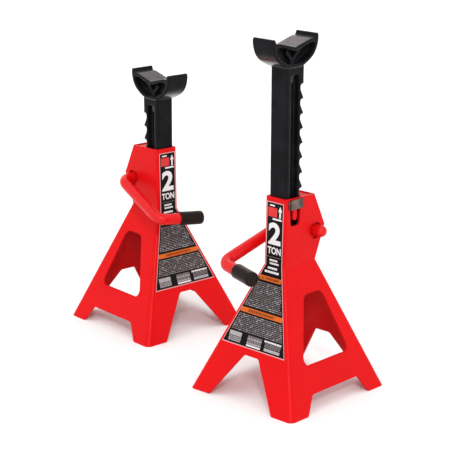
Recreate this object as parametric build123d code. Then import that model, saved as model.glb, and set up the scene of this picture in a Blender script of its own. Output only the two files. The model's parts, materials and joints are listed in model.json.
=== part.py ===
from build123d import *
import os
from math import cos, radians, sin

os.makedirs("parts", exist_ok=True)

# A pair of car axle stands, in millimetres. Each stand is drawn in its own frame: X to the right as seen
# from the labelled front, Y from front to back, Z up from the floor under the middle of its feet.

# ---- the pair ----
LOW_NOTCH = 0            # notches the low stand's bar is raised by
RAISED_NOTCH = 5         # notches the raised stand's bar is raised by
LOW_PLACE = (-113.95, 23.95)
RAISED_PLACE = (122.71, -26.30)
LOW_TURN = 84.1          # degrees, the low stand's turn about the vertical

# ---- folded sheet base ----
BASE_HEIGHT = 195.0
RIM_DROP = 1.6           # how much lower the rim is at the back
SHEET = 2.2
FOOT_X = 66.3            # half the footprint, side to side
FOOT_Y = 69.2            # half the footprint, front to back
NECK_Z = 128.0           # where the flared legs turn into the upright neck
NECK_X = 13.2            # half the neck's width
NECK_FRONT = -21.6
NECK_BACK = 24.2
BULGE_Z = 160.8          # height of the neck's rearmost point, beside the pivot
BULGE_BACK = 37.5
TOP_FRONT = -20.0
TOP_BACK = 21.2
FOOT_BEND = 6.0          # radius of the four folded edges at the floor
NECK_BEND = 2.5          # and from the neck upwards

FRONT_ARCH_TOP = 44.6
FRONT_ARCH_HALF_TOP = 9.1
FRONT_ARCH_HALF_FLOOR = 40.8
FOOT_ROUND = 2.2
ARCH_ROUND = 4.0
SIDE_ARCH_TOP = 16.8
SIDE_ARCH_FRONT = -31.0
SIDE_ARCH_BACK = 34.5
SIDE_ARCH_HALF_FLOOR = 44.6
WINDOW_BOTTOM = 41.0
WINDOW_TOP = 101.0
WINDOW_BOTTOM_Y = (-33.6, 34.3)
WINDOW_TOP_Y = (-6.0, 19.3)
WINDOW_ROUND_TOP = 8.0
WINDOW_ROUND_BOTTOM = 6.5

# ---- ratchet bar, one casting with its saddle (heights at the lowest notch) ----
BAR_HALF = 10.4
BAR_FRONT = -17.4
BAR_BOTTOM = 8.0
BAR_TOP = 248.4
FLANGE_FRONT = 5.6       # front flange thickness
WEB_HALF = 4.6
TOOTH_TIP = 6.0
TOOTH_DEPTH = 4.0
REAR_FLANGE = 3.2        # thickness behind the tooth roots
NOTCH_PITCH = 14.2
FIRST_LEDGE = 230.4
LEDGES = 15
ENGAGED_LEDGE = 4        # the ledge that rests on the pawl at the lowest notch
TOOTH_LAND = 1.4         # the blunt tip of a tooth
TOOTH_RAMP = 9.0         # height of the ramp above a ledge

# ---- saddle ----
SADDLE_HALF = 13.0
SADDLE_MID = -8.6        # middle of the cradle, front to back
SADDLE_SPAN = 31.6       # half the distance over the two horns
SADDLE_RISE = 28.1       # horn tips above the bar's shoulder
HORN_LIP = 3.2
HORN_STEP = 4.0          # drop from a horn tip to its inner ledge
HORN_LEDGE = 7.0
VEE_DROP = 10.0          # horn tips to the bottom of the vee
SADDLE_WALL = 3.2

# ---- handle, pawl and pivot ----
PIVOT_Y = 24.1
PIVOT_Z = 156.8
ROD_RADIUS = 5.8
ROD_RIGHT = 24.6         # how far the rod's domed end reaches to the right
ROD_CORNER_X = -27.2
GRIP_CORNER = (-37.3, -52.9, 130.2)
GRIP_END = (12.0, -63.5, 126.5)
PIVOT_BEND = 13.0
GRIP_BEND = 11.0
GRIP_RADIUS = 7.3
GRIP_LENGTH = 27.0
HOLE_RADIUS = 8.2
HOLE_Y = 22.6            # the wall holes sit forward of the rod, which the load presses back
COLLAR_RADIUS = 9.5
PAWL_HALF = 6.0
PAWL_HUB = 8.1
PAWL_REACH = 24.5        # the nose is an arc about the pivot, just under the ledge
PAWL_LEADING = 133.8     # degrees about the pivot from straight back, with the nose just clear of the teeth
PAWL_TRAILING = 119.0
STOP_PIN_RADIUS = 2.5

# ---- trim ----
CLIP_BOTTOM = 184.0
CLIP_TOP = 193.4
CLIP_Y = (-17.2, 3.4)
CLIP_THICK = 1.4
SLOT_Y = (-14.4, 0.2)
SLOT_Z = (167.6, 184.5)
TONGUE_Y = (-10.2, -4.8)
TONGUE_BOTTOM = 173.4
LABEL_THICK = 0.35
LABEL_BOTTOM = 51.0
LABEL_TOP = 190.5
LABEL_HALF_BOTTOM = 40.2
LABEL_HALF_NECK = 10.7
SEAM_RADIUS = 1.8


def box(x, y, z):
    """A block from its lowest and highest x, y and z."""
    size = [high - low for low, high in (x, y, z)]
    middle = [(low + high) / 2 for low, high in (x, y, z)]
    return Pos(*middle) * Box(*size)


def between(a, b, t):
    return a + (b - a) * t


def along_x(outline, x_low, x_high):
    """Extrude an outline of (y, z) points or edges from one x to another."""
    face = make_face(Polyline(*outline, close=True)) if isinstance(outline, list) else outline
    return extrude(Plane(origin=(x_low, 0, 0), x_dir=(0, 1, 0), z_dir=(1, 0, 0)) * face, x_high - x_low)


def along_y(outline, y_low, y_high):
    """Extrude an outline of (x, z) points from one y to another."""
    face = make_face(Polyline(*outline, close=True)) if isinstance(outline, list) else outline
    plane = Plane(origin=(0, y_low, 0), x_dir=(1, 0, 0), z_dir=(0, -1, 0))
    return extrude(plane * face, -(y_high - y_low))


def round_corners(outline, chosen, radius):
    """Round the corners of a sketch that lie where chosen(x, y) is true."""
    return fillet([v for v in outline.vertices() if chosen(v.X, v.Y)], radius)


def front_y(z):
    """The front face's y at a height."""
    if z < NECK_Z:
        return between(-FOOT_Y, NECK_FRONT, z / NECK_Z)
    return between(NECK_FRONT, TOP_FRONT, (z - NECK_Z) / (BASE_HEIGHT - NECK_Z))


def back_y(z):
    """The back face's y at a height."""
    if z < NECK_Z:
        return between(FOOT_Y, NECK_BACK, z / NECK_Z)
    if z < BULGE_Z:
        return between(NECK_BACK, BULGE_BACK, (z - NECK_Z) / (BULGE_Z - NECK_Z))
    return between(BULGE_BACK, TOP_BACK, (z - BULGE_Z) / (BASE_HEIGHT - BULGE_Z))


def half_width(z):
    """Half the base's width, side to side, at a height."""
    return between(FOOT_X, NECK_X, min(z, NECK_Z) / NECK_Z)


def base_body(grow, overshoot=0.0):
    """The base as a solid block, grown by an amount on every side."""
    layers = []
    for z, bend in (
        (-overshoot, FOOT_BEND),
        (NECK_Z, NECK_BEND),
        (BULGE_Z, NECK_BEND),
        (BASE_HEIGHT + overshoot, NECK_BEND),
    ):
        front, back, half = front_y(z) - grow, back_y(z) + grow, half_width(z) + grow
        outline = RectangleRounded(2 * half, back - front, max(bend + grow, 0.4))
        layers.append(Pos(0, (front + back) / 2, z) * outline)
    return loft(layers, ruled=True)


def window():
    """The three-cornered opening in each side wall."""
    outline = make_face(
        Polyline(
            (WINDOW_BOTTOM_Y[0], WINDOW_BOTTOM),
            (WINDOW_BOTTOM_Y[1], WINDOW_BOTTOM),
            (WINDOW_TOP_Y[1], WINDOW_TOP),
            (WINDOW_TOP_Y[0], WINDOW_TOP),
            close=True,
        )
    )
    outline = round_corners(outline, lambda y, z: z > WINDOW_BOTTOM + 1, WINDOW_ROUND_TOP)
    return round_corners(outline, lambda y, z: abs(z - WINDOW_BOTTOM) < 0.01, WINDOW_ROUND_BOTTOM)


def arch(floor_low, floor_high, top_low, top_high, height):
    """A foot cut-out: wide at the floor, with rounded upper corners and rounded feet."""
    past = 8.0
    outline = make_face(
        Polyline((floor_low - past, -2), (floor_high + past, -2), (floor_high + past, 0), (floor_high, 0),
                 (top_high, height), (top_low, height), (floor_low, 0), (floor_low - past, 0), close=True)
    )
    outline = round_corners(outline, lambda a, b: b > height - 0.01, ARCH_ROUND)
    feet = (floor_low, floor_high)
    return round_corners(outline, lambda a, b: abs(b) < 0.01 and min(abs(a - f) for f in feet) < 0.01, FOOT_ROUND)


def tongue_slot():
    """The U-shaped slot in the right wall, which leaves a tongue hanging from its top."""
    outline = make_face(
        Polyline((SLOT_Y[0], SLOT_Z[1]), (SLOT_Y[1], SLOT_Z[1]), (SLOT_Y[1] - 1.0, SLOT_Z[0]),
                 (SLOT_Y[0] + 1.0, SLOT_Z[0]), close=True)
    )
    outline = round_corners(outline, lambda y, z: z < SLOT_Z[0] + 0.01, 3.0)
    tongue = make_face(
        Polyline((TONGUE_Y[0], SLOT_Z[1] + 1), (TONGUE_Y[1], SLOT_Z[1] + 1), (TONGUE_Y[1], TONGUE_BOTTOM),
                 (TONGUE_Y[0], TONGUE_BOTTOM), close=True)
    )
    tongue = round_corners(tongue, lambda y, z: z < TONGUE_BOTTOM + 0.01, 2.4)
    return outline - tongue


def base_shell():
    shell = base_body(0) - base_body(-SHEET, overshoot=1.0)
    front_arch = arch(-FRONT_ARCH_HALF_FLOOR, FRONT_ARCH_HALF_FLOOR, -FRONT_ARCH_HALF_TOP,
                      FRONT_ARCH_HALF_TOP, FRONT_ARCH_TOP)
    side_arch = arch(-SIDE_ARCH_HALF_FLOOR, SIDE_ARCH_HALF_FLOOR, SIDE_ARCH_FRONT, SIDE_ARCH_BACK,
                     SIDE_ARCH_TOP)
    shell -= along_y(front_arch, -FOOT_Y - 5, FOOT_Y + 5)
    shell -= along_x(side_arch, -FOOT_X - 5, FOOT_X + 5)
    shell -= along_x(window(), -FOOT_X - 5, FOOT_X + 5)
    shell -= along_x(Pos(HOLE_Y, PIVOT_Z) * Circle(HOLE_RADIUS), -NECK_X - 5, NECK_X + 5)
    shell -= along_x(tongue_slot(), 0, NECK_X + 5)
    above_rim = [(TOP_FRONT - 4, BASE_HEIGHT), (TOP_BACK + 4, BASE_HEIGHT - RIM_DROP * 1.1),
                 (TOP_BACK + 4, BASE_HEIGHT + 4), (TOP_FRONT - 4, BASE_HEIGHT + 4)]
    return shell - along_x(above_rim, -NECK_X - 5, NECK_X + 5)


def rear_seam_weld():
    """The bead that closes the folded sheet, down the middle of the back face."""
    heights = (FRONT_ARCH_TOP + 3, NECK_Z, BULGE_Z, BASE_HEIGHT - 2)
    path = Polyline(*[(0, back_y(z), z) for z in heights])
    profile = Plane(origin=path @ 0, z_dir=path % 0) * Circle(SEAM_RADIUS)
    return sweep(profile, path, transition=Transition.RIGHT) - base_body(0)


def top_guide_plate():
    """The cap behind the bar, with a lip that runs down beside the teeth."""
    lip_front = TOOTH_TIP + 0.6
    half = NECK_X - SHEET - 0.1
    low, high = 189.6, 192.6
    plate = box((-half, half), (lip_front, back_y(high) - SHEET - 0.2), (low, high))
    plate = fillet(plate.edges().filter_by(Axis.X).group_by(Axis.Z)[-1].sort_by(Axis.Y)[0:1], 1.5)
    return plate + box((-half, half), (lip_front, lip_front + 2.4), (184.0, low + 0.4))


def front_guide_plate():
    """The plate below the neck that the bar's face slides on, held off the front wall by its foot."""
    low, high = 96.0, 134.0
    face = BAR_FRONT - 0.25
    half = NECK_X - SHEET - 0.2
    plate = box((-half, half), (face - 1.6, face), (low, high))
    foot = box((-half, half), (front_y(low + 2) + SHEET + 0.3, face - 1.0), (low, low + 2))
    return plate + foot


def rear_guide_channel():
    """A lipped channel below the pivot: its two lips steady the bar and leave room for the pawl and pin."""
    half = NECK_X - SHEET - 0.1
    low, high = 127.5, 146.0
    lips_front = TOOTH_TIP + 0.4
    channel = box((-half, half), (lips_front, 16.0), (low, high))
    channel -= box((-half + 2, half - 2), (lips_front + 2, 14.0), (low - 1, high + 1))
    channel -= box((-4.2, 4.2), (lips_front - 1, lips_front + 3), (low - 1, high + 1))
    return channel


def tooth_cut(ledge):
    """The notch below one ledge: a flat ledge, a hollow root, then a ramp out to the next tip."""
    root = TOOTH_TIP - TOOTH_DEPTH
    next_tip = ledge - NOTCH_PITCH + TOOTH_LAND
    corner = Pos(root + 2.0, ledge - 2.0) * Circle(2.0)
    wedge = make_face(
        Polyline((TOOTH_TIP + 3, ledge), (root + 2.0, ledge), (root, ledge - 2.0),
                 (root, ledge - NOTCH_PITCH + TOOTH_RAMP), (TOOTH_TIP, next_tip), (TOOTH_TIP + 3, next_tip),
                 close=True)
    )
    return wedge + corner


def saddle_outline():
    """The cradle seen from the side, as (y, z) from its middle at horn-tip height."""
    span = SADDLE_SPAN
    root = -SADDLE_RISE - 0.6
    outer = [(span, -2.0), (span - 1.5, -11.5), (span - 5.2, -18.3), (span - 11.2, -23.4), (9.6, root)]
    right = Spline(*outer)
    left = Spline(*[(-y, z) for y, z in outer])
    bottom = Line(left @ 1, right @ 1)
    lip_inner = span - HORN_LIP
    ledge_inner = lip_inner - HORN_LEDGE
    right_top = Polyline((span, -2.0), (span - 1.0, 0), (lip_inner, 0), (lip_inner - 1.5, -HORN_STEP),
                         (ledge_inner, -HORN_STEP - 0.3), (0.0, -VEE_DROP))
    left_top = Polyline(*[(-v.X, v.Y) for v in right_top.vertices()])
    return make_face(Curve() + [right, left, bottom, right_top, left_top])


def side_pocket():
    """The hollow in each side of the cradle, inside its outer wall and under its seat."""
    outer = [(26.6, -8.0), (24.8, -14.8), (19.4, -20.0), (12.4, -23.8), (7.0, -25.5)]
    right = Spline(*outer)
    left = Spline(*[(-y, z) for y, z in outer])
    top = Polyline((26.6, -8.0), (19.0, -8.0), (0, -14.0), (-19.0, -8.0), (-26.6, -8.0))
    return make_face(Curve() + [right, left, top, Line(left @ 1, right @ 1)])


def ratchet_bar(lift):
    """The toothed bar and the saddle on its top, one casting."""
    root = TOOTH_TIP - TOOTH_DEPTH
    bar = box((-BAR_HALF, BAR_HALF), (BAR_FRONT, TOOTH_TIP), (BAR_BOTTOM, BAR_TOP))
    upright = bar.edges().filter_by(Axis.Z).group_by(Axis.Y)[0]
    bar = fillet(upright, 1.2)
    bevel = [(BAR_FRONT - 1, BAR_TOP + 1), (BAR_FRONT + 1.6, BAR_TOP + 1), (BAR_FRONT - 1, BAR_TOP - 1.6)]
    bar -= along_x(bevel, -BAR_HALF - 1, BAR_HALF + 1)
    for k in range(LEDGES):
        bar -= along_x(tooth_cut(FIRST_LEDGE - NOTCH_PITCH * k), -BAR_HALF - 1, BAR_HALF + 1)
    recess_y = (BAR_FRONT + FLANGE_FRONT, root - REAR_FLANGE)
    recess = Pos((recess_y[0] + recess_y[1]) / 2, (BAR_BOTTOM + BAR_TOP) / 2) * RectangleRounded(
        recess_y[1] - recess_y[0], BAR_TOP - BAR_BOTTOM - 16, 2.4)
    for side in (-1, 1):
        low, high = sorted((side * WEB_HALF, side * (BAR_HALF + 1)))
        bar -= along_x(recess, low, high)
    tips = BAR_TOP + SADDLE_RISE
    place = Pos(0, SADDLE_MID, tips)
    cradle = place * along_x(saddle_outline(), -SADDLE_HALF, SADDLE_HALF)
    for side in (-1, 1):
        low, high = sorted((side * 5.2, side * (SADDLE_HALF + 1)))
        cradle -= place * along_x(side_pocket(), low, high)
    rib_x = (-BAR_HALF + 0.6, BAR_HALF - 0.6)
    stem_y = (SADDLE_MID - 4.4, SADDLE_MID + 1.0)
    stem = box(rib_x, stem_y, (tips - 43, tips - 22))
    stem = fillet(stem.edges().filter_by(Axis.Z), 1.6)
    bar += cradle + stem
    for side in (-1, 1):
        rib = Pos(0, SADDLE_MID - 1.5, tips - 23) * Rot(-side * 42, 0, 0) * Pos(0, 0, 6.0) * Box(
            2 * rib_x[1], 3.6, 14)
        bar += rib
    pin_z = BAR_BOTTOM + 4.6
    bar -= Pos(0, 0, pin_z) * Rot(-90, 0, 0) * Pos(0, 0, BAR_FRONT + 8) * Cylinder(
        STOP_PIN_RADIUS, 30, align=(Align.CENTER, Align.CENTER, Align.MIN))
    return Pos(0, 0, lift) * bar


def stop_pin(lift):
    """The pin behind the bar's foot that stops the bar being lifted out."""
    pin = Pos(0, BAR_FRONT + 8, BAR_BOTTOM + 4.6) * Rot(-90, 0, 0) * Cylinder(
        STOP_PIN_RADIUS, 18.0, align=(Align.CENTER, Align.CENTER, Align.MIN))
    pin = chamfer(pin.edges().filter_by(GeomType.CIRCLE), 0.5)
    return Pos(0, 0, lift) * pin


def handle_points():
    """The handle's centre line: through the pivot holes, forward beside the stand, then across its front."""
    start = (ROD_RIGHT - ROD_RADIUS, PIVOT_Y, PIVOT_Z)
    corner = (ROD_CORNER_X, PIVOT_Y, PIVOT_Z)
    return [Vector(*p) for p in (start, corner, GRIP_CORNER, GRIP_END)]


def rounded_path(points, radii):
    """Straight runs joined by arcs: one radius for each inner corner."""
    edges = []
    here = points[0]
    for before, corner, after, radius in zip(points, points[1:], points[2:], radii):
        into = (corner - before).normalized()
        out = (after - corner).normalized()
        turn = radians(into.get_angle(out))
        reach = radius * sin(turn / 2) / cos(turn / 2)
        entry, leave = corner - into * reach, corner + out * reach
        edges.append(Line(here, entry))
        edges.append(TangentArc(entry, leave, tangent=into))
        here = leave
    edges.append(Line(here, points[-1]))
    return Wire([e for piece in edges for e in piece.edges()])


def handle_rod():
    points = handle_points()
    inner_end = points[3] - (points[3] - points[2]).normalized() * 1.6
    points = points[:3] + [inner_end]
    path = rounded_path(points, (PIVOT_BEND, GRIP_BEND))
    profile = Plane(origin=points[0], z_dir=(-1, 0, 0)) * Circle(ROD_RADIUS)
    rod = sweep(profile, path)
    return rod + Pos(*points[0]) * Sphere(ROD_RADIUS)


def handle_grip():
    """The sleeve on the handle's end: closed and slightly domed at the tip."""
    points = handle_points()
    along = (points[3] - points[2]).normalized()
    start = points[3] - along * GRIP_LENGTH
    sleeve = Cylinder(GRIP_RADIUS, GRIP_LENGTH, align=(Align.CENTER, Align.CENTER, Align.MIN))
    ends = sleeve.edges().filter_by(GeomType.CIRCLE).sort_by(Axis.Z)
    sleeve = fillet(ends[-1:], 2.2)
    sleeve = fillet(sleeve.edges().filter_by(GeomType.CIRCLE).sort_by(Axis.Z)[0:1], 0.8)
    sleeve -= Cylinder(ROD_RADIUS, GRIP_LENGTH - 1.6, align=(Align.CENTER, Align.CENTER, Align.MIN))
    return Plane(origin=start, z_dir=along) * sleeve


def about_pivot(radius, angle):
    return (PIVOT_Y + radius * cos(radians(angle)), PIVOT_Z + radius * sin(radians(angle)))


def pawl():
    """Hub on the handle rod, with a nose whose end is an arc about the pivot."""
    lead = about_pivot(PAWL_REACH, PAWL_LEADING)
    trail = about_pivot(PAWL_REACH, PAWL_TRAILING)
    mid = about_pivot(PAWL_REACH, (PAWL_LEADING + PAWL_TRAILING) / 2)
    low = about_pivot(PAWL_HUB, PAWL_LEADING + 48)
    high = about_pivot(PAWL_HUB, PAWL_TRAILING - 52)
    nose = make_face(Curve() + [ThreePointArc(lead, mid, trail), Line(trail, high), Line(high, (PIVOT_Y, PIVOT_Z)),
                                Line((PIVOT_Y, PIVOT_Z), low), Line(low, lead)])
    outline = nose + Pos(PIVOT_Y, PIVOT_Z) * Circle(PAWL_HUB)
    outline -= Pos(PIVOT_Y, PIVOT_Z) * Circle(ROD_RADIUS)
    return along_x(outline, -PAWL_HALF, PAWL_HALF)


def pawl_weld():
    """The fillet of weld between the pawl's right face and the rod."""
    bead = make_face(Polyline((ROD_RADIUS, 0), (ROD_RADIUS + 2.0, 0), (ROD_RADIUS, 2.0), close=True))
    ring = revolve(Plane.XZ * bead, Axis.Z)
    return Pos(PAWL_HALF, PIVOT_Y, PIVOT_Z) * Rot(0, 90, 0) * ring


def collar(side):
    """The bush behind a pivot hole, which closes the hole round the rod."""
    inner, outer = 8.4, NECK_X - SHEET - 0.1
    disc = along_x(Pos(HOLE_Y, PIVOT_Z) * Circle(COLLAR_RADIUS), inner, outer)
    disc -= along_x(Pos(PIVOT_Y, PIVOT_Z) * Circle(ROD_RADIUS + 0.25), inner - 1, outer + 1)
    return disc if side > 0 else mirror(disc, about=Plane.YZ)


def spring_clip():
    """A bent strip that covers the top of the tongue, with its front end rolled into a bead."""
    seat = NECK_X + 0.1
    front, back = CLIP_Y
    plate = box((seat, seat + CLIP_THICK), (front + 3.2, back), (CLIP_BOTTOM, CLIP_TOP))
    plate = fillet(plate.edges().filter_by(Axis.X).group_by(Axis.Y)[-1], 1.2)
    bead = Pos(seat + 1.05, front + 3.6, (CLIP_BOTTOM + CLIP_TOP) / 2) * Cylinder(1.05, CLIP_TOP - CLIP_BOTTOM)
    tab = box((seat, seat + 0.8), (front, front + 3.0), (CLIP_BOTTOM + 0.8, CLIP_TOP - 0.3))
    return plate + bead + tab


def front_label():
    """The sticker on the front face, following the face's outline."""
    skin = base_body(LABEL_THICK) - base_body(0.02)
    outline = make_face(
        Polyline((-LABEL_HALF_BOTTOM, LABEL_BOTTOM), (LABEL_HALF_BOTTOM, LABEL_BOTTOM),
                 (LABEL_HALF_NECK, NECK_Z), (LABEL_HALF_NECK, LABEL_TOP), (-LABEL_HALF_NECK, LABEL_TOP),
                 (-LABEL_HALF_NECK, NECK_Z), close=True)
    )
    return skin & along_y(outline, -FOOT_Y - 5, -5)


def stand(lift):
    """Every piece of one stand, by name, with its bar raised by an amount."""
    return {
        "base_shell": base_shell(),
        "rear_seam_weld": rear_seam_weld(),
        "top_guide_plate": top_guide_plate(),
        "front_guide_plate": front_guide_plate(),
        "rear_guide_channel": rear_guide_channel(),
        "ratchet_bar": ratchet_bar(lift),
        "stop_pin": stop_pin(lift),
        "handle_rod": handle_rod(),
        "handle_grip": handle_grip(),
        "pawl": pawl(),
        "pawl_weld": pawl_weld(),
        "collar_left": collar(-1),
        "collar_right": collar(1),
        "spring_clip": spring_clip(),
        "front_label": front_label(),
    }


def placed(prefix, notch, place, turn):
    """One stand of the pair, set in its place on the floor."""
    where = Pos(place[0], place[1], 0) * Rot(0, 0, turn)
    return {f"{prefix}_{name}": where * piece for name, piece in stand(notch * NOTCH_PITCH).items()}


def main():
    nodes = placed("raised", RAISED_NOTCH, RAISED_PLACE, 0)
    nodes.update(placed("low", LOW_NOTCH, LOW_PLACE, LOW_TURN))
    for name, piece in nodes.items():
        solids = piece.solids()
        if len(solids) == 1:
            piece = solids[0]
        export_step(piece, f"parts/{name}.step")
    return nodes


if __name__ == "__main__":
    main()
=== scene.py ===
import json
import random
from math import atan2, cos, pi, radians, sin

import bmesh
import bpy
import numpy as np
from mathutils import Euler, Matrix, Vector, noise as perlin


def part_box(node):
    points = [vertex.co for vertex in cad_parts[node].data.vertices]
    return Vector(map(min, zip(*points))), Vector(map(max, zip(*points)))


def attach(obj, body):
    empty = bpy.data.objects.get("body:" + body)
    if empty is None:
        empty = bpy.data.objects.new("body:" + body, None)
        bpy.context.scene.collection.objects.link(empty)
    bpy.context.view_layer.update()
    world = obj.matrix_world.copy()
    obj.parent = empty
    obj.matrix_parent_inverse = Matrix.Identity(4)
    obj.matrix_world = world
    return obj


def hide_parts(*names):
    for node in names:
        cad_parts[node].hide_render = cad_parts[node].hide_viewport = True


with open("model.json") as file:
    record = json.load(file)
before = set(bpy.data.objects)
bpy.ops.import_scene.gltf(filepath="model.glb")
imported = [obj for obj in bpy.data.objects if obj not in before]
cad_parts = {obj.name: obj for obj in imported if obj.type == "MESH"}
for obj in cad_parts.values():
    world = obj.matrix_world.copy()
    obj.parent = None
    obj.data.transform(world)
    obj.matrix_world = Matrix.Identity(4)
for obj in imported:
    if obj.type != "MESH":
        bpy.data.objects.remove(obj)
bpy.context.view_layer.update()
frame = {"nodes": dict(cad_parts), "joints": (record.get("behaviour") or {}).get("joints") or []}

# A pair of axle stands, in metres, in the frame of the CAD model. The label, the castings and the
# weld are worked out in millimetres, in their own stand's axes.

MILLIMETRE = 0.001       # in metres
METRE = 1000             # in millimetres


# ---------------------------------------------------------------- the two stands, read from the frame
class Stand:
    """One stand's own axes: x to the right of its label, y from front to back, z up."""

    def __init__(self, name):
        self.name = name
        low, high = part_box(f"{name}_base_shell")
        self.origin = Vector(((low.x + high.x) / 2, (low.y + high.y) / 2, 0))
        pivot = next(j for j in frame["joints"] if j["name"] == f"{name}_handle_turn")
        self.turn = atan2(-pivot["axis"][1], -pivot["axis"][0])
        self.matrix = Matrix.Translation(self.origin) @ Matrix.Rotation(self.turn, 4, "Z")

    def world(self, x, y, z):
        return self.matrix @ Vector((x, y, z))

    def local(self, point):
        return self.matrix.inverted() @ Vector(point)

    def node(self, part):
        return frame["nodes"][f"{self.name}_{part}"]

    def points(self, part):
        """A CAD node's vertices in this stand's own axes."""
        return [self.local(v.co) for v in self.node(part).data.vertices]


raised = Stand("raised")
low = Stand("low")
STANDS = (raised, low)


# ---------------------------------------------------------------- materials
def material(name, color, roughness=0.5, metallic=0.0, specular=0.5):
    """A material with one principled shader."""
    mat = bpy.data.materials.new(name)
    mat.use_nodes = True
    shader = mat.node_tree.nodes["Principled BSDF"]
    shader.inputs["Base Color"].default_value = (*color, 1)
    shader.inputs["Roughness"].default_value = roughness
    shader.inputs["Metallic"].default_value = metallic
    shader.inputs["Specular IOR Level"].default_value = specular
    return mat


def noise(mat, scale, detail=2.0, stretch=(1, 1, 1)):
    """A noise value laid out in object coordinates."""
    nodes, links = mat.node_tree.nodes, mat.node_tree.links
    coords = nodes.new("ShaderNodeTexCoord")
    mapping = nodes.new("ShaderNodeMapping")
    mapping.inputs["Scale"].default_value = stretch
    texture = nodes.new("ShaderNodeTexNoise")
    texture.inputs["Scale"].default_value = scale
    texture.inputs["Detail"].default_value = detail
    links.new(coords.outputs["Object"], mapping.inputs["Vector"])
    links.new(mapping.outputs["Vector"], texture.inputs["Vector"])
    return texture.outputs["Fac"]


NOISE_LOW, NOISE_HIGH = 0.3, 0.7        # most noise values lie between these
TINT_LOW, TINT_HIGH = 0.35, 0.65        # the two tints lie outside these


def vary(mat, value, socket, low_value, high_value):
    """Drive a shader number from a noise value."""
    nodes, links = mat.node_tree.nodes, mat.node_tree.links
    span = nodes.new("ShaderNodeMapRange")
    span.inputs["From Min"].default_value = NOISE_LOW
    span.inputs["From Max"].default_value = NOISE_HIGH
    span.inputs["To Min"].default_value = low_value
    span.inputs["To Max"].default_value = high_value
    links.new(value, span.inputs["Value"])
    links.new(span.outputs["Result"], nodes["Principled BSDF"].inputs[socket])


def tint(mat, value, first, second):
    """Mix the base colour between two colours by a noise value."""
    nodes, links = mat.node_tree.nodes, mat.node_tree.links
    ramp = nodes.new("ShaderNodeValToRGB")
    ramp.color_ramp.elements[0].position = TINT_LOW
    ramp.color_ramp.elements[1].position = TINT_HIGH
    ramp.color_ramp.elements[0].color = (*first, 1)
    ramp.color_ramp.elements[1].color = (*second, 1)
    links.new(value, ramp.inputs["Fac"])
    links.new(ramp.outputs["Color"], nodes["Principled BSDF"].inputs["Base Color"])


def bump(mat, value, strength, distance):
    """Raise the surface by a noise value; bumps stack on one another."""
    nodes, links = mat.node_tree.nodes, mat.node_tree.links
    normal = nodes["Principled BSDF"].inputs["Normal"]
    node = nodes.new("ShaderNodeBump")
    node.inputs["Strength"].default_value = strength
    node.inputs["Distance"].default_value = distance
    if normal.links:
        links.new(normal.links[0].from_socket, node.inputs["Normal"])
    links.new(value, node.inputs["Height"])
    links.new(node.outputs["Normal"], normal)


def edge_on_gloss(mat, first, last, strongest, roughness):
    """A clear coat that shows only where the surface is seen edge-on, between two facing values."""
    nodes, links = mat.node_tree.nodes, mat.node_tree.links
    facing = nodes.new("ShaderNodeLayerWeight")
    facing.inputs["Blend"].default_value = 0.5
    span = nodes.new("ShaderNodeMapRange")
    span.inputs["From Min"].default_value = first
    span.inputs["From Max"].default_value = last
    span.inputs["To Max"].default_value = strongest
    links.new(facing.outputs["Facing"], span.inputs["Value"])
    shader = nodes["Principled BSDF"]
    shader.inputs["Coat Roughness"].default_value = roughness
    links.new(span.outputs["Result"], shader.inputs["Coat Weight"])


def round_edges(mat, radius):
    """Shade sharp edges as if rounded by a small radius."""
    nodes, links = mat.node_tree.nodes, mat.node_tree.links
    bevel = nodes.new("ShaderNodeBevel")
    bevel.samples = 4
    bevel.inputs["Radius"].default_value = radius
    links.new(bevel.outputs["Normal"], nodes["Principled BSDF"].inputs["Normal"])


EDGE_ROUNDING = 0.6 * MILLIMETRE


def enamel(name, color, specular):
    """Sprayed enamel with a faint orange peel, rounding the sheet's cut edges."""
    mat = material(name, color, roughness=0.34, specular=specular)
    round_edges(mat, EDGE_ROUNDING)
    tint(mat, noise(mat, scale=30), [c * 0.95 for c in color], color)
    vary(mat, noise(mat, scale=90), "Roughness", 0.26, 0.38)
    bump(mat, noise(mat, scale=420, detail=1.0), strength=0.10, distance=0.0002)
    return mat


def black_cast_paint():
    """Black paint over sand-cast iron: grainy under a satin film."""
    mat = material("black_casting", (0.006, 0.0055, 0.007), roughness=0.32, specular=0.07)
    tint(mat, noise(mat, scale=60), (0.0045, 0.004, 0.005), (0.0085, 0.0075, 0.0095))
    vary(mat, noise(mat, scale=160), "Roughness", 0.30, 0.48)
    bump(mat, noise(mat, scale=900, detail=4.0), strength=0.22, distance=0.0003)
    bump(mat, noise(mat, scale=180, detail=2.0), strength=0.15, distance=0.0006)
    edge_on_gloss(mat, first=0.42, last=0.75, strongest=0.9, roughness=0.25)
    return mat


def vinyl():
    """Dipped vinyl, faintly grained."""
    mat = material("black_vinyl", (0.013, 0.007, 0.0055), roughness=0.42, specular=0.10)
    vary(mat, noise(mat, scale=200), "Roughness", 0.30, 0.46)
    bump(mat, noise(mat, scale=1500, detail=2.0), strength=0.12, distance=0.0001)
    edge_on_gloss(mat, first=0.45, last=0.8, strongest=0.6, roughness=0.3)
    return mat


def zinc_with_painted_reflection():
    """Zinc plate with a drawn grain along the strip. Its colour is partly the zinc's own and partly a
    painted reflection: it is tinted red-brown and darkened to stand in for the red enamel mirrored in it.
    """
    mat = material("zinc_with_painted_reflection", (0.15, 0.11, 0.098), roughness=0.3, metallic=1.0)
    # Painted reflection: both tints pull the zinc towards a dark red-brown, standing in for the red enamel
    # seen in the plate.
    tint(mat, noise(mat, scale=120, detail=3.0), (0.10, 0.062, 0.053), (0.20, 0.155, 0.14))
    vary(mat, noise(mat, scale=260, detail=3.0), "Roughness", 0.26, 0.46)
    bump(mat, noise(mat, scale=300, detail=2.0, stretch=(1, 1, 12)), strength=0.15, distance=0.0001)
    return mat


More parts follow.
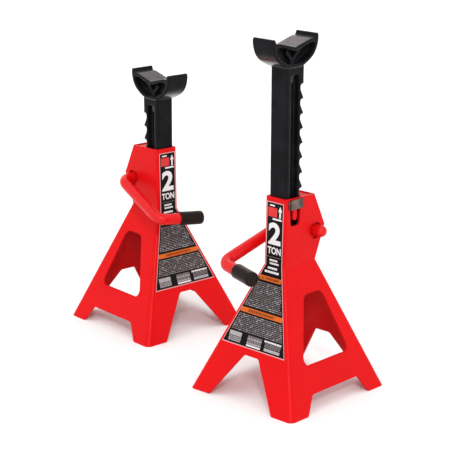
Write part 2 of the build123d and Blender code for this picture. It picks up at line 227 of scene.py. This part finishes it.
def plain_steel():
    """Bare drawn steel."""
    mat = material("plain_steel", (0.33, 0.33, 0.34), roughness=0.4, metallic=1.0)
    vary(mat, noise(mat, scale=300), "Roughness", 0.3, 0.5)
    return mat


FILM_ROUGHNESS = 0.35


def film(name, color):
    """Printed film: flat colour under a thin laminate."""
    mat = material(name, color, roughness=FILM_ROUGHNESS, specular=0.05)
    vary(mat, noise(mat, scale=250), "Roughness", FILM_ROUGHNESS - 0.05, FILM_ROUGHNESS + 0.08)
    bump(mat, noise(mat, scale=700, detail=1.0), strength=0.04, distance=0.0001)
    return mat


RED = (0.66, 0.0045, 0.006)
red_paint = enamel("red_enamel", RED, specular=0.07)
rod_paint = enamel("red_rod_enamel", RED, specular=0.25)
black_cast = black_cast_paint()
black_vinyl = vinyl()
zinc = zinc_with_painted_reflection()
steel = plain_steel()
film_black = film("film_black", (0.007, 0.0055, 0.006))
ink_white = film("ink_white", (0.72, 0.69, 0.70))
ink_pale = film("ink_pale", (0.36, 0.33, 0.34))
ink_grey = film("ink_grey", (0.20, 0.17, 0.175))
ink_orange = film("ink_orange", (0.60, 0.125, 0.022))
ink_dark_orange = film("ink_dark_orange", (0.25, 0.04, 0.01))
ink_red = film("ink_red", (0.62, 0.04, 0.04))
ink_border = film("ink_border", (0.70, 0.30, 0.30))

FINISH = {
    "base_shell": red_paint,
    "rear_seam_weld": red_paint,
    "top_guide_plate": red_paint,
    "front_guide_plate": red_paint,
    "rear_guide_channel": red_paint,
    "collar_left": red_paint,
    "collar_right": red_paint,
    "pawl": red_paint,
    "pawl_weld": red_paint,
    "handle_rod": rod_paint,
    "ratchet_bar": black_cast,
    "stop_pin": steel,
    "spring_clip": zinc,
    "handle_grip": black_vinyl,
    "front_label": film_black,
}


def finish_node(obj, mat):
    """Give a CAD node its one material."""
    obj.data.materials.clear()
    obj.data.materials.append(mat)


for stand in STANDS:
    for part, mat in FINISH.items():
        finish_node(stand.node(part), mat)


# ---------------------------------------------------------------- mesh helpers
def new_mesh_object(name, mesh, mat, body):
    """A new visible piece that moves with a body."""
    obj = bpy.data.objects.new(name, mesh)
    bpy.context.scene.collection.objects.link(obj)
    mesh.materials.append(mat)
    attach(obj, body)
    return obj


def mesh_from(bm, name):
    """A named mesh from a bmesh, which is used up."""
    bmesh.ops.recalc_face_normals(bm, faces=bm.faces)
    mesh = bpy.data.meshes.new(name)
    bm.to_mesh(mesh)
    bm.free()
    return mesh


def smooth(mesh, angle):
    """Smooth shading, with edges sharper than an angle in degrees kept."""
    mesh.polygons.foreach_set("use_smooth", [True] * len(mesh.polygons))
    mesh.set_sharp_from_angle(angle=radians(angle))


# ---------------------------------------------------------------- the castings
CAST_WELD = 0.005        # millimetres, joins the faces along their shared edges
CAST_VOXEL = 0.7
CAST_SOFTENING = 6       # smoothing passes, which round every edge as sand casting leaves it
CAST_SOFTNESS = 0.5      # how far one pass moves a point
CAST_WAVE = 0.07         # how far the skin wanders in and out
CAST_WAVE_SIZE = 9.0


def cast_bar(stand):
    """The toothed bar and saddle with a cast skin: soft edges and a faintly uneven surface."""
    node = stand.node("ratchet_bar")
    mesh = node.data.copy()
    to_own = Matrix.Scale(METRE, 4) @ stand.matrix.inverted()
    mesh.transform(to_own)
    draft = bpy.data.objects.new("draft", mesh)
    bpy.context.scene.collection.objects.link(draft)
    weld = draft.modifiers.new("weld", "WELD")
    weld.merge_threshold = CAST_WELD
    remesh = draft.modifiers.new("remesh", "REMESH")
    remesh.mode = "VOXEL"
    remesh.voxel_size = CAST_VOXEL
    soften = draft.modifiers.new("soften", "SMOOTH")
    soften.factor = CAST_SOFTNESS
    soften.iterations = CAST_SOFTENING
    depsgraph = bpy.context.evaluated_depsgraph_get()
    cast = bpy.data.meshes.new_from_object(draft.evaluated_get(depsgraph))
    bpy.data.objects.remove(draft)
    bm = bmesh.new()
    bm.from_mesh(cast)
    bm.normal_update()
    for vert in bm.verts:
        vert.co += vert.normal * CAST_WAVE * perlin.noise(vert.co / CAST_WAVE_SIZE)
    bm.transform(to_own.inverted())
    bm.to_mesh(cast)
    bm.free()
    cast.name = f"{stand.name}_cast_bar"
    cast.polygons.foreach_set("use_smooth", [True] * len(cast.polygons))
    cast.materials.clear()
    piece = new_mesh_object(f"{stand.name}_cast_bar", cast, black_cast, f"{stand.name}_bar")
    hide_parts(f"{stand.name}_ratchet_bar")


for stand in STANDS:
    cast_bar(stand)


# ---------------------------------------------------------------- the printed label
PRINT_RISE = 0.00008     # metres the ink stands off the film
PRINT_SINK = 0.00004     # and how deep its back lies in it
PRINT_MERGE = 0.00001
SAME_WIDTH = 0.05        # millimetres within which two half widths count as equal


class LabelFace:
    """The label's front: a sloping lower panel and a near-upright upper one. Millimetres, u across, h up."""

    def __init__(self, stand):
        self.stand = stand
        points = [p * METRE for p in stand.points("front_label")]
        levels = {}
        for p in points:
            levels.setdefault(round(p.z, 2), []).append(p)
        heights = sorted(levels)
        out = {h: min(p.y for p in levels[h]) for h in heights}
        half = {h: max(p.x for p in levels[h]) for h in heights}
        self.bottom, self.top = heights[0], heights[-1]
        flare = max(h for h in heights if half[h] > half[self.top] + SAME_WIDTH)
        self.neck = min(h for h in heights if h > flare and half[h] > half[self.top] - SAME_WIDTH)
        self.rows = [(h, out[h], half[h]) for h in (self.bottom, self.neck, self.top)]

    def between(self, h, column):
        """A column of the rows, read off in a straight line at height h."""
        first, second = self.rows[:2] if h < self.neck else self.rows[1:]
        t = (h - first[0]) / (second[0] - first[0])
        return first[column] + (second[column] - first[column]) * t

    def half(self, h):
        return self.between(h, 2)

    def place(self, u, h, out):
        """The row-frame point that stands a distance out from the label at (u, h)."""
        return self.stand.world(u / METRE, self.between(h, 1) / METRE - out, h / METRE)


class Ink:
    """One colour of ink on one label: closed patches a tenth of a millimetre thick."""

    def __init__(self, face, name, mat):
        self.face, self.name, self.mat = face, name, mat
        self.bm = bmesh.new()

    def patch(self, corners):
        """A convex outline of (u, h) corners."""
        face, bm = self.face, self.bm
        front = [bm.verts.new(face.place(u, h, PRINT_RISE)) for u, h in corners]
        back = [bm.verts.new(face.place(u, h, -PRINT_SINK)) for u, h in corners]
        bm.faces.new(front)
        bm.faces.new(back[::-1])
        for k, _ in enumerate(corners):
            n = (k + 1) % len(corners)
            bm.faces.new((front[n], front[k], back[k], back[n]))

    def bar(self, left, right, low_edge, high_edge):
        self.patch([(left, low_edge), (right, low_edge), (right, high_edge), (left, high_edge)])

    def words(self, text, middle, foot, height, width, weight):
        """Plain lettering, stretched to a height and a width."""
        curve = bpy.data.curves.new("words", "FONT")
        curve.body = text
        curve.offset = weight
        curve.extrude = 0.5
        draft = bpy.data.objects.new("words", curve)
        bpy.context.scene.collection.objects.link(draft)
        depsgraph = bpy.context.evaluated_depsgraph_get()
        mesh = bpy.data.meshes.new_from_object(draft.evaluated_get(depsgraph))
        bpy.data.objects.remove(draft)
        xs = [v.co.x for v in mesh.vertices]
        ys = [v.co.y for v in mesh.vertices]
        across = width / (max(xs) - min(xs))
        up = height / (max(ys) - min(ys))
        for v in mesh.vertices:
            u = middle - width / 2 + (v.co.x - min(xs)) * across
            h = foot + (v.co.y - min(ys)) * up
            v.co = self.face.place(u, h, PRINT_RISE if v.co.z > 0 else -PRINT_SINK)
        self.bm.from_mesh(mesh)
        bpy.data.meshes.remove(mesh)

    def finish(self):
        """Turn the patches into one piece on the stand's base."""
        bmesh.ops.remove_doubles(self.bm, verts=self.bm.verts, dist=PRINT_MERGE)
        mesh = mesh_from(self.bm, self.name)
        piece = new_mesh_object(self.name, mesh, self.mat, f"{self.face.stand.name}_base")


LINE_PITCH = 1.62        # millimetres between rows of small print
LINE_HEIGHT = 0.78
SHORTEST_DASH = 0.8
DASH, DASH_GAP = (0.9, 3.6), (0.4, 0.85)
ROW_SHORTEST_DASH = 0.6
ROW_DASH, ROW_DASH_GAP = (1.0, 3.0), (0.35, 0.6)
LETTER_WIDTH = 1.8
BORDER = 0.9             # width of the sticker's pale edge
BORDER_LEAN = 1.07       # the slanted sides are that much wider, measured across


def fine_lines(inks, high, low_edge, margin, seed):
    """Rows of short dashes standing for unreadable small print."""
    dice = random.Random(seed)
    h = high
    while h > low_edge:
        end = inks[0].face.half(h) - margin
        u = -end
        while u < end - SHORTEST_DASH:
            dash = min(dice.uniform(*DASH), end - u)
            dice.choice(inks).bar(u, u + dash, h - LINE_HEIGHT, h)
            u += dash + dice.uniform(*DASH_GAP)
        h -= LINE_PITCH


def small_print(ink, left, right, high, height, seed):
    """One row of dashes between two ends."""
    dice = random.Random(seed)
    u = left
    while u < right - ROW_SHORTEST_DASH:
        dash = min(dice.uniform(*ROW_DASH), right - u)
        ink.bar(u, u + dash, high - height, high)
        u += dash + dice.uniform(*ROW_DASH_GAP)


def border(ink):
    """The sticker's pale edge."""
    face = ink.face
    levels = (face.bottom, face.neck, face.top)
    inner_levels = [min(max(h, face.bottom + BORDER), face.top - BORDER) for h in levels]
    outer = [(face.half(h), h) for h in levels]
    inner = [(face.half(h) - BORDER * BORDER_LEAN, inside) for h, inside in zip(levels, inner_levels)]
    for side in (-1, 1):
        for k in (0, 1):
            ring = [outer[k], outer[k + 1], inner[k + 1], inner[k]]
            ink.patch([(side * u, h) for u, h in ring])
    for k in (0, 2):
        (a, ha), (b, hb) = outer[k], inner[k]
        ink.patch([(-a, ha), (a, ha), (b, hb), (-b, hb)])


INK_COLOURS = {
    "white": ink_white,
    "pale": ink_pale,
    "grey": ink_grey,
    "orange": ink_orange,
    "dark": ink_dark_orange,
    "red": ink_red,
    "edge": ink_border,
}


def top_panel(red, white):
    """A plain red block, an upward arrow beside it, and a bar over and under."""
    red.bar(-8.6, 2.6, 176.0, 185.0)
    white.bar(-6.8, -0.6, 186.3, 187.7)
    white.patch([(3.9, 182.0), (8.7, 182.0), (6.3, 187.4)])
    white.bar(5.3, 7.3, 175.8, 182.1)
    white.bar(-3.0, 8.3, 173.2, 174.9)


def rating(white, grey):
    """The load rating, over four rows of blocks."""
    white.words("2", middle=0.0, foot=149.0, height=21.6, width=15.4, weight=0.035)
    white.words("TON", middle=0.0, foot=139.6, height=7.0, width=16.6, weight=0.03)
    grey.bar(-8.6, 8.6, 136.5, 136.9)
    blocks, filled = 5, 0.86
    for left, right, low_edge, high_edge in (
        (-5.4, 4.6, 132.6, 134.4),
        (-5.0, 6.4, 129.4, 131.2),
        (-6.6, 5.4, 124.9, 126.7),
        (-9.4, 8.8, 121.3, 123.2),
    ):
        step = (right - left) / blocks
        for k in range(blocks):
            white.bar(left + k * step, left + (k + filled) * step, low_edge, high_edge)


def band(orange, half, low_edge, high_edge):
    """The orange ground of a heading."""
    orange.bar(-half, half, low_edge, high_edge)


def heading(dark, left, pitch, foot, top, count):
    """Dark blocks in place of a heading's letters."""
    for k in range(count):
        dark.bar(left + k * pitch, left + LETTER_WIDTH + k * pitch, foot, top)


def picture_row(white, pale, grey):
    """Three small blocks of pictures and print along the bottom."""
    pale.bar(-33.0, -17.6, 58.6, 62.6)
    for k, high in enumerate((58.0, 56.4, 54.8)):
        small_print(pale, -33.0, -17.6, high, 1.1, 21 + k)
    for k, high in enumerate((62.6, 60.6, 58.6, 56.6)):
        small_print(pale if k % 2 else grey, -9.4, 8.4, high, 1.7, 31 + k)
    white.bar(-9.4, 8.4, 53.0, 54.4)
    small_print(white, 11.6, 32.6, 62.8, 1.6, 41)
    for k, high in enumerate((60.6, 59.2, 57.8)):
        small_print(grey, 13.0, 32.6, high, 1.0, 51 + k)
    pale.bar(13.0, 32.6, 53.4, 56.0)


def printed_label(stand):
    """All the ink on one label, with plain shapes only."""
    face = LabelFace(stand)
    inks = {name: Ink(face, f"{stand.name}_print_{name}", mat) for name, mat in INK_COLOURS.items()}
    white, pale, grey, orange, dark, red, edge = inks.values()
    print_inks = (grey, grey, grey, pale)
    border(edge)
    top_panel(red, white)
    rating(white, grey)
    band(orange, half=13.4, low_edge=113.9, high_edge=118.0)
    dark.patch([(-11.4, 114.7), (-8.0, 114.7), (-9.7, 117.4)])
    heading(dark, left=-6.2, pitch=2.5, foot=114.9, top=117.1, count=7)
    fine_lines(print_inks, high=111.6, low_edge=88.6, margin=2.2, seed=11)
    band(orange, half=26.6, low_edge=81.6, high_edge=86.0)
    heading(dark, left=-17.0, pitch=2.45, foot=82.6, top=85.0, count=14)
    fine_lines(print_inks, high=79.9, low_edge=65.2, margin=2.4, seed=12)
    picture_row(white, pale, grey)
    for ink in inks.values():
        ink.finish()


for stand in STANDS:
    printed_label(stand)


# ---------------------------------------------------------------- the grip sleeves
GRIP_BORE = 5.82
GRIP_SEGMENTS = 64
GRIP_SHARP = 60          # degrees
GRIP_PROFILE = (         # (distance from the open end, radius), millimetres
    (25.4, 0.0), (25.4, GRIP_BORE), (0.6, GRIP_BORE), (0.15, 5.95), (0.0, 6.3), (0.1, 6.75), (0.5, 7.08),
    (1.2, 7.25), (2.4, 7.29), (8.0, 7.22), (14.0, 7.2), (20.0, 7.24), (22.6, 7.28), (24.6, 7.24),
    (25.8, 7.0), (26.6, 6.5), (26.95, 5.95), (26.98, 5.5), (26.8, 5.1), (26.2, 4.85), (25.95, 4.5),
    (25.9, 2.2), (26.1, 1.3), (26.25, 0.0),
)


def lathe(profile, segments):
    """A closed surface of revolution about Z from (z, radius) pairs that start and end on the axis."""
    bm = bmesh.new()
    rings = []
    for z, r in profile:
        if r == 0:
            rings.append([bm.verts.new((0, 0, z))])
        else:
            turns = [2 * pi * k / segments for k in range(segments)]
            rings.append([bm.verts.new((r * cos(a), r * sin(a), z)) for a in turns])
    for first, second in zip(rings, rings[1:]):
        for k in range(segments):
            n = (k + 1) % segments
            here = [first[k % len(first)], first[n % len(first)]]
            there = [second[n % len(second)], second[k % len(second)]]
            bm.faces.new(list(dict.fromkeys(here + there)))
    return bm


def grip(stand):
    """The dipped sleeve on the handle's end, with a rolled mouth and a dished tip."""
    points = np.array([stand.points("handle_grip")]).reshape(-1, 3)
    centre = points.mean(axis=0)
    axis = np.linalg.svd(points - centre, full_matrices=False)[2][0]
    if axis[0] < 0:
        axis = -axis
    reach = (points - centre) @ axis
    start = Vector(centre + axis * reach.min())
    bm = lathe(GRIP_PROFILE, GRIP_SEGMENTS)
    bmesh.ops.scale(bm, vec=[MILLIMETRE] * 3, verts=bm.verts)
    turn = Vector(axis).to_track_quat("Z", "Y").to_matrix().to_4x4()
    bm.transform(stand.matrix @ Matrix.Translation(start) @ turn)
    mesh = mesh_from(bm, f"{stand.name}_grip_sleeve")
    smooth(mesh, GRIP_SHARP)
    piece = new_mesh_object(f"{stand.name}_grip_sleeve", mesh, black_vinyl, f"{stand.name}_handle")
    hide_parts(f"{stand.name}_handle_grip")


for stand in STANDS:
    grip(stand)


# ---------------------------------------------------------------- the weld down the back
WELD_HALF = 1.9          # millimetres, half the bead's width
WELD_RISE = 1.5
WELD_SINK = 0.15         # how deep its edges lie in the sheet
WELD_PITCH = 1.7         # from one ripple to the next
WELD_RIPPLE = 0.14       # share of the bead's size that the ripples take
WELD_LAG = 1.3           # how far a ripple trails at the bead's edges
WELD_STEP = 0.34
WELD_END = 1.0           # how far each end stops short
WELD_TIP = 0.35          # share of the bead's size at its very ends
WELD_RUN_IN = 2.5
WELD_SHARP = 70          # degrees
SLOPE_REACH = 1.5        # how far up and down the back face's slope is read
NECK_CLEAR = 5           # corners this far above the label's neck belong to the neck box
RIM_BAND = 3             # the sloped top edge lies within this of the highest corner
LEVEL = 0.1              # corners within this are at one height


def back_profile(stand):
    """Heights and depths of the back face's corners, in millimetres."""
    points = [p * METRE for p in stand.points("base_shell")]
    neck = LabelFace(stand).neck
    upper = [p for p in points if p.z > neck + NECK_CLEAR and p.y > 0]
    bulge = max(upper, key=lambda p: p.y)
    rim = [p for p in upper if p.z > bulge.z + NECK_CLEAR]
    high = max(p.z for p in rim)
    deep = max(p.y for p in rim if p.z > high - RIM_BAND)
    heights = [0.0, neck, bulge.z, high]
    depths = [max(p.y for p in points if abs(p.z - h) < LEVEL) for h in heights[:3]]
    return heights, depths + [deep]


def weld_bead(stand):
    """The closing bead down the back face, with the crescent ripples that a weld pool leaves."""
    heights, depths = back_profile(stand)
    points = [p * METRE for p in stand.points("rear_seam_weld")]
    low_z, high_z = min(p.z for p in points) + WELD_END, max(p.z for p in points) - WELD_END
    rings = []
    bm = bmesh.new()
    count = int((high_z - low_z) / WELD_STEP)
    for i in range(count + 1):
        z = low_z + (high_z - low_z) * i / count
        y = float(np.interp(z, heights, depths))
        above, below = np.interp([z + SLOPE_REACH, z - SLOPE_REACH], heights, depths)
        slope = float(above - below) / (2 * SLOPE_REACH)
        normal = Vector((0, 1, -slope)).normalized()
        from_end = min(i, count - i) * WELD_STEP
        taper = min(1.0, WELD_TIP + from_end / WELD_RUN_IN)
        ring = []
        for a in range(-90, 91, 18):
            lag = WELD_LAG * (a / 90) ** 2
            ripple = abs(sin(pi * (z + lag) / WELD_PITCH))
            swell = taper * (1 - WELD_RIPPLE + WELD_RIPPLE * ripple)
            across = WELD_HALF * sin(radians(a)) * swell
            out = WELD_RISE * cos(radians(a)) * swell - WELD_SINK
            ring.append(bm.verts.new(Vector((across, y, z)) + normal * out))
        rings.append(ring)
    for first, second in zip(rings, rings[1:]):
        for k in range(len(first)):
            n = (k + 1) % len(first)
            bm.faces.new((first[k], first[n], second[n], second[k]))
    bm.faces.new(rings[0])
    bm.faces.new(rings[-1][::-1])
    bm.transform(stand.matrix @ Matrix.Scale(MILLIMETRE, 4))
    mesh = mesh_from(bm, f"{stand.name}_weld_bead")
    smooth(mesh, WELD_SHARP)
    piece = new_mesh_object(f"{stand.name}_weld_bead", mesh, red_paint, f"{stand.name}_base")
    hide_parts(f"{stand.name}_rear_seam_weld")


for stand in STANDS:
    weld_bead(stand)


# ---------------------------------------------------------------- camera, floor and light
CAMERA_PLACE = (1.08569, -1.12189, 0.5858)
CAMERA_PITCH = 16.14     # degrees below level
CAMERA_YAW = 43.73       # degrees from straight at the labelled front
CAMERA_ROLL = 0.13
CAMERA_LENS = 127.45


def make_camera():
    """The photograph's view, fitted to the stands' corners."""
    data = bpy.data.cameras.new("camera")
    data.lens = CAMERA_LENS
    data.sensor_width = 36
    data.clip_end = 50
    camera = bpy.data.objects.new("camera", data)
    bpy.context.scene.collection.objects.link(camera)
    aim = Euler((radians(90 - CAMERA_PITCH), 0, radians(CAMERA_YAW))).to_matrix().to_4x4()
    roll = Matrix.Rotation(radians(CAMERA_ROLL), 4, "Z")
    camera.matrix_world = Matrix.Translation(CAMERA_PLACE) @ aim @ roll
    bpy.context.scene.camera = camera


FLOOR_HALF = 12
LIGHT_DISTANCE = 3
WORLD_STRENGTH = 1.08


def make_floor():
    """A wide pale floor."""
    mesh = bpy.data.meshes.new("floor")
    corners = [(x * FLOOR_HALF, y * FLOOR_HALF, 0) for x, y in ((-1, -1), (1, -1), (1, 1), (-1, 1))]
    mesh.from_pydata(corners, [], [(0, 1, 2, 3)])
    floor = bpy.data.objects.new("floor", mesh)
    bpy.context.scene.collection.objects.link(floor)
    mat = material("pale_floor", (0.93, 0.93, 0.93), roughness=0.6, specular=0.2)
    mesh.materials.append(mat)


def soft_sun(name, azimuth, elevation, strength, spread, color=(1, 1, 1)):
    """A far, broad light: azimuth in degrees from +X towards +Y, spread its apparent width in degrees."""
    data = bpy.data.lights.new(name, "SUN")
    data.energy = strength
    data.color = color
    data.angle = radians(spread)
    light = bpy.data.objects.new(name, data)
    bpy.context.scene.collection.objects.link(light)
    a, e = radians(azimuth), radians(elevation)
    towards = Vector((cos(a) * cos(e), sin(a) * cos(e), sin(e)))
    light.location = towards * LIGHT_DISTANCE
    light.rotation_euler = towards.to_track_quat("Z", "Y").to_euler()


def make_light():
    """An even white studio with three soft suns."""
    world = bpy.data.worlds.new("studio")
    bpy.context.scene.world = world
    world.use_nodes = True
    world.node_tree.nodes["Background"].inputs["Color"].default_value = (1, 1, 1, 1)
    world.node_tree.nodes["Background"].inputs["Strength"].default_value = WORLD_STRENGTH
    soft_sun("key", azimuth=-44, elevation=37, strength=0.8, spread=7)
    soft_sun("fill", azimuth=-95, elevation=60, strength=0.3, spread=60)
    soft_sun("rim", azimuth=145, elevation=34, strength=0.16, spread=30, color=(1.0, 0.72, 0.69))
    bpy.context.scene.view_settings.view_transform = "Standard"


make_camera()
make_floor()
make_light()
